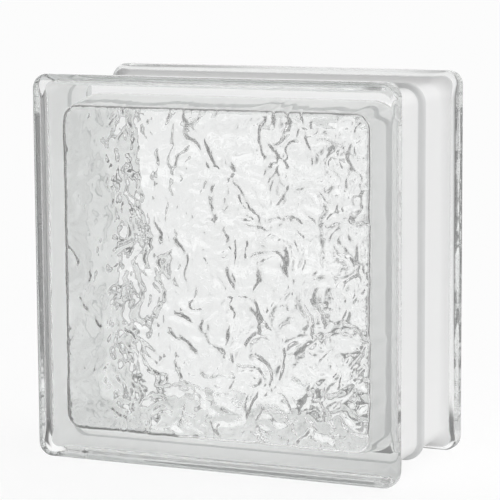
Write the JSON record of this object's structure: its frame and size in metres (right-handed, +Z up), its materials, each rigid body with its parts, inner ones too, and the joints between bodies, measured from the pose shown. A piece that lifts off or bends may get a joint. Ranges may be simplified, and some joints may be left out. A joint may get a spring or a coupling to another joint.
{
  "type": "glass block",
  "caption": "Square hollow glass block for walls: clear rims around both faces, a white-coated mortar channel between them, a fused seam and panels with a crinkled relief inside.",
  "frame": {"origin": "centre of the block's footprint, on the plane of its lower rims", "axes": "+X to the right along the face, +Y through the block from the front face to the back face, +Z up"},
  "size_m": [0.1968, 0.0984, 0.1969],
  "materials": {
    "glass": "clear pressed glass, polished outside, with a white coat in the mortar channel"
  },
  "bodies": {
    "root": {"glass_block": "glass"}
  },
  "joints": []
}
